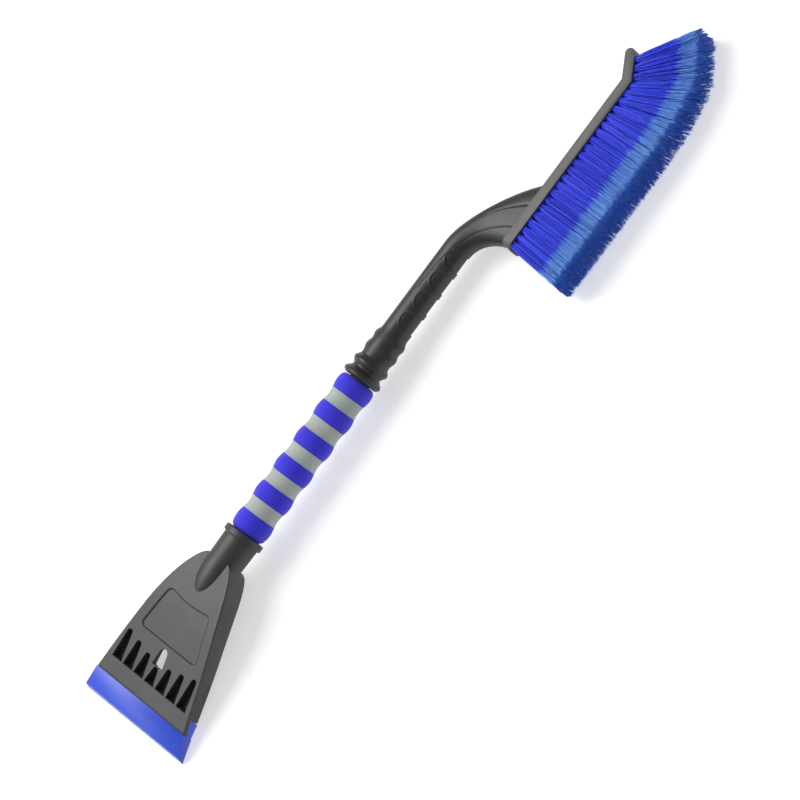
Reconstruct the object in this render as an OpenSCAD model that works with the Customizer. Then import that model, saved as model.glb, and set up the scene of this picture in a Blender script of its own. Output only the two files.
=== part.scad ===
// Windshield ice scraper with a pull-off snow brush.
//
// Sub-parts are drawn about the handle's axis: +X runs along the handle from the scraper
// to the brush, the bristles point to -Y and the scraper's face looks up to +Z. X = 0 is
// the middle of the foam grip's middle ring. on_ground() then lays the tool on Z = 0 with
// its bounding box centred on the origin.

/* [Foam grip] */
// Length of one blue and one grey ring together
foam_pitch = 25.7; // [23:0.1:28]
// Length of a grey ring
foam_grey = 11.8; // [9:0.1:14]
// Mean outer radius of the foam
foam_radius = 14.7; // [14:0.1:15.5]
// Height of the wave that runs along the foam, middle to crest
foam_wave = 0.9; // [0:0.1:1.5]
// Extra length of the last ring at the scraper end
foam_extra_head = 3; // [0:0.1:5]
// Extra length of the last ring at the brush end
foam_extra_brush = 0.7; // [0:0.1:3]

/* [Tube and joint] */
// Outer radius of the handle tube
tube_radius = 10; // [9.6:0.1:10.4]
// Wall of the handle tube
tube_wall = 1.2; // [0.8:0.1:1.5]
// Radius of the spigot that the brush handle pushes onto
spigot_radius = 8.95; // [8.5:0.05:9.2]
// Length of the spigot outside the tube
spigot_length = 70; // [50:1:75]
// Radial clearance of the spigot in its socket
spigot_clearance = 0.05; // [0.02:0.01:0.1]
// Gap between the foam's end and the brush handle's flange
joint_gap = 0.3; // [0.3:0.1:1]

/* [Scraper head] */
// Length of the neck between its collar and the tray
neck_length = 20.3; // [18:0.1:26]
// Radius of the neck where it meets the tray
neck_radius = 14.5; // [14:0.1:15]
// Length of the rounded nose that the neck ends in
nose_length = 32; // [26:1:36]
// Length of the head's face, from its top to the end of the front strip
head_length = 125; // [120:1:135]
// Half width of the head at its top
head_half_top = 10; // [8:0.5:12]
// Half width of the head at the end of the front strip
head_half_end = 52.4; // [51:0.1:58]
// Angle by which the face bends down towards the blade
head_bend = 16.5; // [14:0.5:18]
// Radius of that bend
head_bend_radius = 210; // [180:5:240]
// Depth of the tray at its top
head_depth_top = 24; // [22:0.5:26]
// Depth of the tray at the blade
head_depth_end = 13.5; // [12.5:0.5:15]
// Thickness of the tray's side walls
head_wall = 2.8; // [2:0.1:3.5]
// Thickness of the face
face_plate = 4.4; // [3.5:0.1:5]
// Number of ice-chipping pockets
pocket_count = 7; // [5:2:7]
// Distance between pockets
pocket_pitch = 12.8; // [12:0.1:13]
// Width of a pocket at its foot
pocket_width = 10.4; // [8:0.1:11]
// Depth of the pockets
pocket_depth = 7.4; // [3:0.1:7.6]

/* [Blade] */
// Length of the blade in front of the strip
blade_length = 19; // [16:0.5:24]
// Half width of the blade at its edge
blade_half_edge = 57; // [56:0.5:60]
// Slope of the blade's front face
blade_slope = 25; // [20:1:28]
// Height of the blunt face between the front face and the edge
blade_nose = 7.6; // [5:0.1:8]

/* [Brush handle] */
// Radius of the shaft that the hand holds
shaft_radius = 11.5; // [11:0.1:12]
// Distance from the foam's end to where the neck starts to curve
shaft_length = 127; // [122:1:135]
// Depth of the finger scallops
scallop_depth = 1.3; // [0.5:0.1:1.5]
// Half thickness of the curved neck at its slimmest
neck_half_thick = 10; // [9:0.5:11]

/* [Bristle block] */
// Distance from the handle's axis to the back of the block
block_offset = 35.8; // [33:0.1:40]
// Thickness of the block
block_thick = 8.4; // [8:0.1:10]
// Width of the block
block_width = 22; // [21:0.5:26]
// Length of the straight part of the block
block_length = 154.5; // [153.5:0.5:158]
// Length of the tip that bends back
tip_length = 25.5; // [24:0.5:30]
// Angle of the tip that bends back
tip_angle = 34; // [25:1:40]

/* [Bristles] */
// Free length of the bristles
bristle_length = 58; // [40:1:75]
// Distance between tufts along the block
tuft_pitch = 7.15; // [7:0.05:7.2]
// Distance between rows of tufts
row_pitch = 7.2; // [7:0.1:7.3]
// Radius of a tuft at its root
tuft_root = 2.7; // [1.6:0.1:2.8]
// Radius of a tuft at its tips
tuft_end = 3.4; // [2.8:0.1:3.4]
// Angle by which the outer rows splay
row_splay = 2; // [0:0.5:4]
// Lean of the last tuft on the bent tip
fan_angle = 52; // [40:1:56]

/* [Hidden] */

$fn = 64;
eps = 0.01;
// How far a cutter runs past the surface it cuts
past = 1;
// Height of outlines that are cut to shape by others
tall = 120;

// Colours
face_grey = [0.36, 0.36, 0.36];
handle_grey = [0.27, 0.27, 0.27];
block_grey = [0.45, 0.45, 0.43];
blade_blue = [0.28, 0.40, 0.90];
foam_blue = [0.22, 0.20, 0.84];
foam_ash = [0.62, 0.66, 0.63];
bristle_blue = [0.20, 0.24, 0.86];
steel = [0.70, 0.71, 0.73];

// Foam grip: ring borders and the two ends of the foam
blue_count = 6;
grey_count = blue_count - 1;
foam_blue_len = foam_pitch - foam_grey;
foam_half = (grey_count * foam_pitch + foam_blue_len) / 2;
foam_x_brush = foam_half + foam_extra_brush;
foam_x_head = -foam_half - foam_extra_head;
foam_end_round = 3.6;
foam_steps = 14;

// Collar and neck of the scraper head
collar_radius = 16.9;
collar_length = 5.5;
collar_edge = 0.8;
neck_radius_collar = 15;
neck_x = foam_x_head - collar_length;
tray_x = neck_x - neck_length;
nose_start = 4;
nose_x = tray_x - nose_start;
nose_steps = 10;
socket_past_tray = 12;
socket_x = tray_x - socket_past_tray;
tube_end_gap = 0.5;
tube_x_head = socket_x + tube_end_gap;

// Tray of the scraper head, measured by s = distance below tray_x
face_rise = 10.2;
taper_power = 0.55;
face_steps = 16;
plan_steps = 24;
plan_crowding = 1.6;
tray_end = head_length - 12;
tray_foot = 3;
hollow_start = 14;
hollow_end = tray_end - tray_foot;
bend_end = head_bend_radius * sin(head_bend);
bend_drop = head_bend_radius * (1 - cos(head_bend));
rib_y = 14;
rib_thick = 2;
strip_thick = 3.2;

// Pockets, slot and panel in the face
pocket_foot = head_length - 14;
pocket_floor = 1.6;
pocket_top_width = 5;
pocket_zone = head_length - 45;
pocket_height_low = 16.5;
pocket_height_step = 3.2;
slot_top = head_length - 43.5;
slot_end = head_length - 28.5;
slot_half_top = 4.3;
slot_half_end = 5.9;
slot_plate = 2.2;
slot_relief_half = 8.2;
slot_relief_top = slot_top - 5;
slot_relief_end = slot_end - 0.6;
panel_top = 40;
panel_end = 78;
panel_half_top = 23;
panel_half_end = 33;
panel_depth = 0.8;

// Blade
blade_step = 0.8;
blade_nose_run = 2;
post_radius = 2.3;
post_clearance = 0.1;
post_sink = 1;
post_s = head_length - 6;
post_places = [-39, -13, 13, 39];

// Neck screw
screw_from_collar = 12;
screw_x = neck_x - screw_from_collar;
screw_radius = 1.5;
screw_head_radius = 3.3;
screw_head_thick = 2.2;
screw_head_play = 0.3;
screw_seat = 12.5;
screw_tip = 6.5;
drive_length = 3.4;
drive_width = 0.7;
drive_depth = 1.2;

// Joint between the halves
joint_x = foam_x_brush + joint_gap;
plug_length = 40;
plug_collar = 1.4;
plug_bore = 6;
key_width = 3;
key_height = 1.1;
key_sink = 1;
key_play = 0.15;
key_start = 4;
key_short = 10;
socket_end_gap = 2;
socket_depth = spigot_length + socket_end_gap;

// Brush handle: [distance from the joint, height, half length] of each swelling
grip_base = 12.5;
swellings = [[3.4, 4.1, 6], [14.4, 2.8, 5.6], [27.4, 1.3, 6.6], [38.8, 1.3, 6.2]];
grip_taper_start = 33;
grip_taper_end = 47;
grip_step = 0.8;
scallop_count = 4;
scallop_first = 58.8;
scallop_pitch = 19.6;
scallop_length = 14.6;
shaft_end_x = foam_x_brush + shaft_length;

// Curved neck: border curves at the inside and the outside of the bend
neck_overlap = 2;
neck_inset = 0.5;
neck_start_x = shaft_end_x - neck_overlap;
neck_start_half = shaft_radius - neck_inset;
neck_foot_inner = 22;
neck_foot_outer = 81;
block_x = shaft_end_x + 22.5;
inner_curve = [[neck_start_x, -neck_start_half],
               [shaft_end_x + 7, -neck_start_half],
               [shaft_end_x + 18, -20],
               [shaft_end_x + neck_foot_inner, -block_offset]];
outer_curve = [[neck_start_x, neck_start_half],
               [shaft_end_x + 23, neck_start_half],
               [shaft_end_x + 63, -14],
               [shaft_end_x + neck_foot_outer, -block_offset]];
neck_rings = 16;
neck_sides = 24;
neck_round = 0.72;

// Bristle block
block_bend_x = block_x + block_length;
block_front = -block_offset - block_thick;
peg_radius = 2.5;
block_undercut = 1.5;
block_corner = 7;
peg_length = 6;
peg_end_gap = 0.5;
peg_places = [22, 44];

// Bristles
hole_depth = 6;
hole_reach = 2;
tufts_straight = 22;
tufts_tip = 3;
tufts = tufts_straight + tufts_tip;
first_tuft = 4;
first_tip_tuft = 4;
fan_start = 17;
fan_power = 1.2;
near_fan = 6;
near_angle = 4.7;
anchor = [4, 0.4, 2];
front_bend_x = block_bend_x + block_thick * tan(tip_angle / 2);

// Bounding box, from the blade's edge to the last tuft's tip
edge_s = head_length + blade_length;
front_foot_z = face_z(head_length) - (blade_length - blade_nose_run) * tan(blade_slope);
lowest_z = front_foot_z - blade_nose;
last_tuft = tuft_foot(tufts - 1);
reach_x = last_tuft[0] + bristle_length * sin(fan_angle) + tuft_end * cos(fan_angle);
box_mid_x = (reach_x + tray_x - edge_s) / 2;
box_mid_y = (blade_half_edge + block_front - bristle_length) / 2;

module on_ground() {
    translate([-box_mid_x, -box_mid_y, -lowest_z]) children();
}

// Turns a shape revolved about Z into one revolved about the handle's axis
module about_handle() {
    rotate([0, 90, 0]) children();
}

// ---- Foam grip ----

// Radius of the foam at x: a wave with its valleys in the grey rings, and rounded ends
function end_dip(d) = d >= foam_end_round ? 0
    : foam_end_round - sqrt(foam_end_round ^ 2 - (foam_end_round - max(d, 0)) ^ 2);
function foam_r(x) = foam_radius - foam_wave * cos(360 * x / foam_pitch)
    - end_dip(min(foam_x_brush - x, x - foam_x_head));

module foam_ring(x0, x1) {
    about_handle() rotate_extrude() polygon(concat(
        [[tube_radius, x0]],
        [for (i = [0:foam_steps]) let (x = x0 + (x1 - x0) * i / foam_steps) [foam_r(x), x]],
        [[tube_radius, x1]]));
}

// Blue ring n, counted from the scraper end; the first and last run to the foam's ends
module foam_blue_ring(n) {
    middle = (n - (blue_count + 1) / 2) * foam_pitch;
    x0 = n == 1 ? foam_x_head : middle - foam_blue_len / 2;
    x1 = n == blue_count ? foam_x_brush : middle + foam_blue_len / 2;
    color(foam_blue) on_ground() foam_ring(x0, x1);
}

module foam_grey_ring(n) {
    middle = (n - (grey_count + 1) / 2) * foam_pitch;
    color(foam_ash) on_ground() foam_ring(middle - foam_grey / 2, middle + foam_grey / 2);
}

// ---- Tube and joint ----

module handle_tube() {
    tube_length = foam_x_brush - plug_collar - tube_x_head;
    color(steel) on_ground() difference() {
        translate([tube_x_head, 0, 0]) about_handle() difference() {
            cylinder(r = tube_radius, h = tube_length);
            translate([0, 0, -past])
                cylinder(r = tube_radius - tube_wall, h = tube_length + 2 * past);
        }
        translate([screw_x, 0, -tube_radius - past]) cylinder(r = screw_radius, h = tube_radius);
    }
}

// The plug sits in the tube, its collar caps the tube's end, and the spigot stands out
module joint_spigot() {
    total = plug_length + spigot_length;
    color(handle_grey) on_ground() translate([foam_x_brush, 0, 0]) difference() {
        union() {
            translate([-plug_length, 0, 0]) about_handle()
                cylinder(r = tube_radius - tube_wall, h = plug_length);
            translate([-plug_collar, 0, 0]) about_handle()
                cylinder(r = tube_radius, h = plug_collar);
            translate([-eps, 0, 0]) about_handle()
                cylinder(r = spigot_radius, h = spigot_length + eps);
            translate([joint_gap + key_start, spigot_radius - key_sink, -key_width / 2])
                cube([spigot_length - key_short, key_height + key_sink, key_width]);
        }
        translate([-plug_length - past, 0, 0]) about_handle()
            cylinder(r = plug_bore, h = total + 2 * past);
    }
}

// ---- Scraper head ----

// Front face of the tray: bends down along an arc, then runs straight
function face_z(s) = face_rise - (s < bend_end
    ? head_bend_radius - sqrt(head_bend_radius ^ 2 - s ^ 2)
    : bend_drop + (s - bend_end) * tan(head_bend));
function tray_depth(s) = head_depth_top + (head_depth_end - head_depth_top) * s / tray_end;
function back_z(s) = face_z(s) - tray_depth(s);
function half_width(s) = head_half_top
    + (head_half_end - head_half_top) * pow(s / head_length, taper_power);
function head_point(s, z) = [tray_x - s, z];
function along(s0, s1) = [for (i = [0:face_steps]) s0 + (s1 - s0) * i / face_steps];

// Extrudes an outline in the X-Z plane across the head
module across(width) {
    rotate([90, 0, 0]) linear_extrude(height = width, center = true) children();
}

module side_profile() {
    polygon(concat(
        [for (s = along(0, head_length)) head_point(s, face_z(s))],
        [head_point(head_length, face_z(head_length) - strip_thick),
         head_point(tray_end, face_z(tray_end) - strip_thick)],
        [for (s = along(tray_end, 0)) head_point(s, back_z(s))]));
}

// The head's outline from above. Half widths follow a power curve, and closer steps near
// the top keep the curve smooth there
module plan_outline(inset) {
    places = [for (i = [0:plan_steps]) head_length * pow(i / plan_steps, plan_crowding)];
    linear_extrude(height = tall, center = true) polygon(concat(
        [for (s = places) [tray_x - s, half_width(s) - inset]],
        [for (i = [plan_steps:-1:0]) [tray_x - places[i], inset - half_width(places[i])]]));
}

// The hollow behind the face, open at the back
module tray_hollow() {
    intersection() {
        across(tall) polygon(concat(
            [for (s = along(hollow_start, hollow_end)) head_point(s, face_z(s) - face_plate)],
            [for (s = along(hollow_end, hollow_start)) head_point(s, back_z(s) - past)]));
        plan_outline(head_wall);
    }
}

// The face is thicker behind the pockets
module pocket_backing() {
    end = hollow_end + past;
    plate = pocket_depth + pocket_floor;
    across(tall) polygon([
        head_point(pocket_zone, face_z(pocket_zone)), head_point(end, face_z(end)),
        head_point(end, face_z(end) - plate),
        head_point(pocket_zone, face_z(pocket_zone) - plate)]);
}

// Behind the slot the face is thinned from the back
module slot_relief() {
    across(2 * slot_relief_half) polygon([
        head_point(slot_relief_top, face_z(slot_relief_top) - slot_plate),
        head_point(slot_relief_end, face_z(slot_relief_end) - slot_plate),
        head_point(slot_relief_end, -tall), head_point(slot_relief_top, -tall)]);
}

module stiffening_ribs() {
    for (y = [-rib_y, rib_y])
        translate([tray_x - tray_end, y - rib_thick / 2, -tall / 2])
            cube([tray_end - hollow_start, rib_thick, tall]);
}

module neck_and_nose() {
    about_handle() rotate_extrude() polygon(concat(
        [[0, foam_x_head], [collar_radius - collar_edge, foam_x_head],
         [collar_radius, foam_x_head - collar_edge],
         [collar_radius, neck_x + collar_edge],
         [collar_radius - collar_edge, neck_x],
         [neck_radius_collar, neck_x]],
        [for (i = [0:nose_steps]) let (a = 90 * i / nose_steps)
            [neck_radius * cos(a), nose_x - nose_length * sin(a)]]));
}

// One pocket outline: a tall finger that narrows to a round top
module pocket_outline(height) {
    round_r = pocket_top_width / 2;
    polygon([[0, -pocket_width / 2], [0, pocket_width / 2],
             [height - round_r, round_r], [height - round_r, -round_r]]);
    translate([height - round_r, 0]) circle(r = round_r, $fn = 32);
}

// Pockets are tallest at the sides; the middle one stops at the slot
function pocket_height(i) = let (from_middle = abs(i - (pocket_count - 1) / 2))
    from_middle == 0 ? pocket_foot - slot_end
                     : pocket_height_low + pocket_height_step * from_middle;

module pockets() {
    for (i = [0:pocket_count - 1]) {
        y = (i - (pocket_count - 1) / 2) * pocket_pitch;
        translate([tray_x - pocket_foot, y, face_z(pocket_foot)]) rotate([0, -head_bend, 0])
            translate([0, 0, -pocket_depth]) linear_extrude(height = pocket_depth + past)
                pocket_outline(pocket_height(i));
    }
}

module slot_cut() {
    translate([tray_x, 0, 0]) linear_extrude(height = tall, center = true) {
        polygon([[-slot_end, -slot_half_end], [-slot_end, slot_half_end],
                 [-slot_top - slot_half_top, slot_half_top],
                 [-slot_top - slot_half_top, -slot_half_top]]);
        translate([-slot_top - slot_half_top, 0]) circle(r = slot_half_top);
    }
}

module panel_cut() {
    intersection() {
        across(tall) polygon(concat(
            [for (s = along(panel_top - past, panel_end + past))
                head_point(s, face_z(s) - panel_depth)],
            [head_point(panel_end + past, tall), head_point(panel_top - past, tall)]));
        translate([tray_x, 0, 0]) linear_extrude(height = 2 * tall, center = true)
            polygon([[-panel_top, -panel_half_top], [-panel_top, panel_half_top],
                     [-panel_end, panel_half_end], [-panel_end, -panel_half_end]]);
    }
}

module blade_posts(radius) {
    for (y = post_places)
        translate([tray_x - post_s, y, -tall]) cylinder(r = radius,
            h = tall + face_z(post_s) - strip_thick + post_sink);
}

// Everything between the front strip's underside and the blade's back
module behind_strip() {
    across(tall) polygon([
        head_point(tray_end, face_z(tray_end) - strip_thick + post_sink),
        head_point(head_length, face_z(head_length) - strip_thick + post_sink),
        head_point(head_length, back_z(tray_end)),
        head_point(tray_end, back_z(tray_end))]);
}

module scraper_head() {
    color(face_grey) on_ground() difference() {
        union() {
            difference() {
                intersection() {
                    across(tall) side_profile();
                    plan_outline(0);
                }
                difference() {
                    tray_hollow();
                    stiffening_ribs();
                    pocket_backing();
                }
            }
            neck_and_nose();
            intersection() {
                blade_posts(post_radius);
                behind_strip();
            }
        }
        translate([socket_x, 0, 0]) about_handle()
            cylinder(r = tube_radius, h = foam_x_head - socket_x + past);
        translate([screw_x, 0, -collar_radius]) {
            cylinder(r = screw_radius, h = neck_radius_collar);
            cylinder(r = screw_head_radius + screw_head_play, h = collar_radius - screw_seat);
        }
        pockets();
        slot_relief();
        slot_cut();
        panel_cut();
    }
}

// ---- Blade ----

module scraper_blade() {
    foot_back = back_z(tray_end);
    front_foot = head_point(edge_s - blade_nose_run, front_foot_z);
    color(blade_blue) on_ground() difference() {
        intersection() {
            across(tall) polygon([
                head_point(tray_end, face_z(tray_end) - strip_thick),
                head_point(head_length, face_z(head_length) - strip_thick),
                head_point(head_length, face_z(head_length)),
                front_foot,
                head_point(edge_s, lowest_z),
                head_point(head_length, foot_back - 2 * blade_step),
                head_point(head_length, foot_back - blade_step),
                head_point(tray_end, foot_back)]);
            linear_extrude(height = tall, center = true) polygon([
                for (side = [1, -1], s = side == 1 ? [tray_end, head_length, edge_s]
                                                   : [edge_s, head_length, tray_end])
                    [tray_x - s, side * (s > head_length ? blade_half_edge : half_width(s))]]);
        }
        blade_posts(post_radius + post_clearance);
    }
}

// ---- Neck screw ----

module neck_screw() {
    color(steel) on_ground() translate([screw_x, 0, -screw_seat]) difference() {
        union() {
            cylinder(r = screw_radius, h = screw_seat - screw_tip);
            translate([0, 0, -screw_head_thick])
                cylinder(r = screw_head_radius, h = screw_head_thick + eps);
        }
        for (turn = [0, 90])
            translate([0, 0, -screw_head_thick]) rotate(turn)
                cube([drive_length, drive_width, 2 * drive_depth], center = true);
    }
}

// ---- Brush handle ----

// Radius of the grip at distance d from the joint: swellings on a tapering shaft
function ease(t) = let (c = min(max(t, 0), 1)) c * c * (3 - 2 * c);
function swell(d, s) = abs(d - s[0]) < s[2] ? s[1] * (1 + cos(180 * (d - s[0]) / s[2])) / 2 : 0;
function grip_r(d) = grip_base
    + (shaft_radius - grip_base) * ease((d - grip_taper_start) / (grip_taper_end - grip_taper_start))
    + max([for (s = swellings) swell(d, s)]);

module grip_revolve() {
    end = shaft_end_x - joint_x;
    translate([joint_x, 0, 0]) about_handle() rotate_extrude() polygon(concat(
        [[0, 0]],
        [for (d = [0:grip_step:grip_taper_end]) [grip_r(d), d]],
        [[shaft_radius, grip_taper_end + grip_step], [shaft_radius, end], [0, end]]));
}

// A point on a cubic curve given by four control points
function curve(p, t) = p[0] * (1 - t) ^ 3 + 3 * p[1] * t * (1 - t) ^ 2
    + 3 * p[2] * t ^ 2 * (1 - t) + p[3] * t ^ 3;
function rounded(v, power) = sign(v) * pow(abs(v), power);
function neck_half_z(t) = neck_half_thick + (t < 0.5
    ? (neck_start_half - neck_half_thick) * (1 - ease(2 * t))
    : (block_width / 2 - neck_half_thick) * ease(2 * t - 1));

// Ring of points between the two border curves; it squares up towards the block
function neck_ring(t) = let (a = curve(inner_curve, t), b = curve(outer_curve, t),
        mid = (a + b) / 2, half = (b - a) / 2, power = 1 - (1 - neck_round) * t)
    [for (k = [0:neck_sides - 1]) let (turn = 360 * k / neck_sides,
            c = rounded(cos(turn), power), s = rounded(sin(turn), power))
        [mid[0] + half[0] * c, mid[1] + half[1] * c, neck_half_z(t) * s]];

module curved_neck() {
    points = [for (i = [0:neck_rings]) each neck_ring(i / neck_rings)];
    last = neck_rings * neck_sides;
    sides = [for (i = [0:neck_rings - 1], k = [0:neck_sides - 1])
        let (a = i * neck_sides + k, b = i * neck_sides + (k + 1) % neck_sides)
            each [[a, a + neck_sides, b], [b, a + neck_sides, b + neck_sides]]];
    polyhedron(points = points, faces = concat(
        [[for (k = [0:neck_sides - 1]) k]], sides,
        [[for (k = [neck_sides - 1:-1:0]) last + k]]));
}

module finger_scallops() {
    cut_r = ((scallop_length / 2) ^ 2 + scallop_depth ^ 2) / (2 * scallop_depth);
    for (i = [0:scallop_count - 1])
        translate([joint_x + scallop_first + i * scallop_pitch,
                   -shaft_radius + scallop_depth - cut_r, 0])
            cylinder(r = cut_r, h = 4 * shaft_radius, center = true);
}

module brush_handle() {
    bore = spigot_radius + spigot_clearance;
    color(handle_grey) on_ground() difference() {
        union() {
            difference() {
                grip_revolve();
                finger_scallops();
            }
            curved_neck();
        }
        translate([joint_x - past, 0, 0]) about_handle()
            cylinder(r = bore, h = socket_depth + past);
        translate([joint_x - past, spigot_radius - key_sink, -key_width / 2 - key_play])
            cube([socket_depth + past, key_sink + key_height + 2 * key_play,
                  key_width + 2 * key_play]);
        block_pegs(peg_length + peg_end_gap);
    }
}

// ---- Bristle block ----

module block_pegs(length) {
    for (d = peg_places)
        translate([block_x + d, -block_offset, 0]) rotate([-90, 0, 0])
            cylinder(r = peg_radius, h = length);
}

// Straight bar and bent tip in one outline, with a round end
module block_outline() {
    dir = [cos(tip_angle), sin(tip_angle)];
    across_tip = [sin(tip_angle), -cos(tip_angle)];
    bend = [block_bend_x, -block_offset];
    back_end = bend + (tip_length - block_thick / 2) * dir;
    polygon([[block_x, -block_offset], bend, back_end, back_end + block_thick * across_tip,
             [front_bend_x, block_front], [block_x - block_undercut, block_front]]);
    translate(back_end + block_thick / 2 * across_tip) circle(d = block_thick);
}

// The block from behind: its end by the handle has round corners
module block_back() {
    x0 = block_x - block_undercut;
    corner = block_width / 2 - block_corner;
    rotate([90, 0, 0]) linear_extrude(height = tall, center = true) {
        translate([x0 + block_corner, -block_width / 2])
            square([block_length + tip_length + block_thick, block_width]);
        translate([x0, -corner]) square([2 * block_corner, 2 * corner]);
        for (side = [-1, 1]) translate([x0 + block_corner, side * corner]) circle(r = block_corner);
    }
}

module bristle_block() {
    color(block_grey) on_ground() difference() {
        union() {
            intersection() {
                linear_extrude(height = block_width, center = true) block_outline();
                block_back();
            }
            block_pegs(peg_length);
        }
        for (row = [-1:1], i = [0:tufts - 1])
            at_tuft(i, row) translate([0, 0, -hole_depth])
                cylinder(r = tuft_root, h = hole_depth + hole_reach);
    }
}

// ---- Bristles ----

// Where tuft i leaves the block's front face, and how far it leans from -Y
function tuft_foot(i) = i < tufts_straight
    ? [block_x + first_tuft + i * tuft_pitch, block_front]
    : let (d = first_tip_tuft + (i - tufts_straight) * tuft_pitch)
        [front_bend_x + d * cos(tip_angle), block_front + d * sin(tip_angle)];
function tuft_lean(i) = i < near_fan ? -near_angle * pow(1 - i / near_fan, fan_power)
    : i < fan_start ? 0
    : fan_angle * pow((i - fan_start + 1) / (tufts - fan_start), fan_power);

module at_tuft(i, row) {
    foot = tuft_foot(i);
    translate([foot[0], foot[1], row * row_pitch]) rotate([0, 0, tuft_lean(i)])
        rotate([90 - row * row_splay, 0, 0]) children();
}

// The metal plate that folds a tuft and holds it at the foot of its hole; run past the
// foot by below, it cuts the plate's place out of the tuft
module anchor_plate(below) {
    translate([-anchor[0] / 2, -anchor[1] / 2, -hole_depth - below])
        cube([anchor[0], anchor[1], anchor[2] + below]);
}

module tuft_row(row) {
    color(bristle_blue) on_ground() for (i = [0:tufts - 1]) at_tuft(i, row) difference() {
        union() {
            translate([0, 0, -hole_depth]) cylinder(r = tuft_root, h = hole_depth);
            cylinder(r1 = tuft_root, r2 = tuft_end, h = bristle_length);
        }
        anchor_plate(past);
    }
}

module tuft_anchors() {
    color(steel) on_ground() for (row = [-1:1], i = [0:tufts - 1]) at_tuft(i, row)
        anchor_plate(0);
}

scraper_head();
scraper_blade();
handle_tube();
foam_blue_ring(1);  // foam_blue_1
foam_blue_ring(2);  // foam_blue_2
foam_blue_ring(3);  // foam_blue_3
foam_blue_ring(4);  // foam_blue_4
foam_blue_ring(5);  // foam_blue_5
foam_blue_ring(6);  // foam_blue_6
foam_grey_ring(1);  // foam_grey_1
foam_grey_ring(2);  // foam_grey_2
foam_grey_ring(3);  // foam_grey_3
foam_grey_ring(4);  // foam_grey_4
foam_grey_ring(5);  // foam_grey_5
joint_spigot();
neck_screw();
brush_handle();
bristle_block();
tuft_row(-1);  // tuft_row_1
tuft_row(0);  // tuft_row_2
tuft_row(1);  // tuft_row_3
tuft_anchors();
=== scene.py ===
"""Windshield ice scraper with a pull-off snow brush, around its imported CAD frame.

Lengths are in millimetres in the handle's frame (+X towards the brush, the bristles point
to -Y, the scraper's face looks up to +Z, X = 0 in the middle of the foam), and to_row()
turns them into metres in the row frame.
"""
import math

import bmesh
import bpy
import numpy as np
from mathutils import Matrix, Vector


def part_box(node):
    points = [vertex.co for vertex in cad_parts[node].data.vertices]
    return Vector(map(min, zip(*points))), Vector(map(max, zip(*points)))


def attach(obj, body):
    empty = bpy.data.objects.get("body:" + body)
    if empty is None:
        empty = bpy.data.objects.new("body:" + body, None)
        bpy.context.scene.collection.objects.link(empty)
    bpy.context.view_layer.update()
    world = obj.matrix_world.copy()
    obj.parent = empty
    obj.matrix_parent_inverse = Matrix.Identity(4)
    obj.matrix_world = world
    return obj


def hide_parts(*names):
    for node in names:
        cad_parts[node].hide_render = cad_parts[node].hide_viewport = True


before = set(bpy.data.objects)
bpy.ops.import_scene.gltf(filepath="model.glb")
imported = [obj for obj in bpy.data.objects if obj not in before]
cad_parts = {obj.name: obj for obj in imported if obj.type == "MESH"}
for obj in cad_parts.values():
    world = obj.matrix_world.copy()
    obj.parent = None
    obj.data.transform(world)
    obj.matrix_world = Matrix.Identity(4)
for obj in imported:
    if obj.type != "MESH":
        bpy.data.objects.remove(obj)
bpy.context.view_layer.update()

MM = 0.001
BODY_SCRAPER = "scraper"
BODY_BRUSH = "brush"
# How far a cutter runs past the surface that it cuts
PAST = 1
ALONG = (1, 0, 0)
DOWN = (0, 0, -1)

# ---------------------------------------------------------------- places from the frame

tube_low, tube_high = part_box("handle_tube")
middle_low, middle_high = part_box("foam_grey_3")
block_low, block_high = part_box("bristle_block")
first_ring_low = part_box("foam_blue_1")[0]
last_ring_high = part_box("foam_blue_6")[1]
grip_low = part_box("brush_handle")[0]
blade_low, blade_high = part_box("scraper_blade")

ORIGIN = np.array([
    (middle_low.x + middle_high.x) / 2,
    (tube_low.y + tube_high.y) / 2,
    (tube_low.z + tube_high.z) / 2,
])


def to_row(points):
    """Handle frame in millimetres to row frame in metres."""
    return np.asarray(points, float) * MM + ORIGIN


def from_row(value, axis):
    """One row coordinate in metres to the handle frame in millimetres."""
    return (value - ORIGIN[axis]) / MM


TUBE_RADIUS = (tube_high.z - tube_low.z) / 2 / MM
FOAM_X_HEAD = from_row(first_ring_low.x, 0)
FOAM_X_BRUSH = from_row(last_ring_high.x, 0)
JOINT_X = from_row(grip_low.x, 0)
BLOCK_HALF_Z = (block_high.z - block_low.z) / 2 / MM
BLADE_EDGE_X = from_row(blade_low.x, 0)
BLADE_EDGE_Z = from_row(blade_low.z, 2)
BLADE_HALF_EDGE = (blade_high.y - blade_low.y) / 2 / MM

# ---------------------------------------------------------------- mesh helpers


def full_turn(count):
    """Evenly spaced angles once round."""
    return np.linspace(0, 2 * np.pi, count, endpoint=False)


def smooth(t):
    """0 below 0, 1 above 1, and an even ramp between."""
    t = np.clip(t, 0, 1)
    return t * t * (3 - 2 * t)


def edge_rounding(distance, radius):
    """How far a surface drops at a distance from its rounded edge."""
    inside = np.clip(radius - distance, 0, radius)
    return radius - np.sqrt(radius ** 2 - inside ** 2)


def add_mesh(name, points, faces, sharp_deg=38):
    """A mesh object from points in the handle frame. Edges over sharp_deg stay crisp."""
    mesh = bpy.data.meshes.new(name)
    mesh.from_pydata(to_row(points).tolist(), [], [list(map(int, f)) for f in faces])
    mesh.update()
    ob = bpy.data.objects.new(name, mesh)
    bpy.context.scene.collection.objects.link(ob)
    shade(ob, sharp_deg)
    return ob


def shade(ob, sharp_deg):
    """Smooth shading that breaks at edges over sharp_deg."""
    ob.data.shade_smooth()
    ob.data.set_sharp_from_angle(angle=math.radians(sharp_deg))


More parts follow.
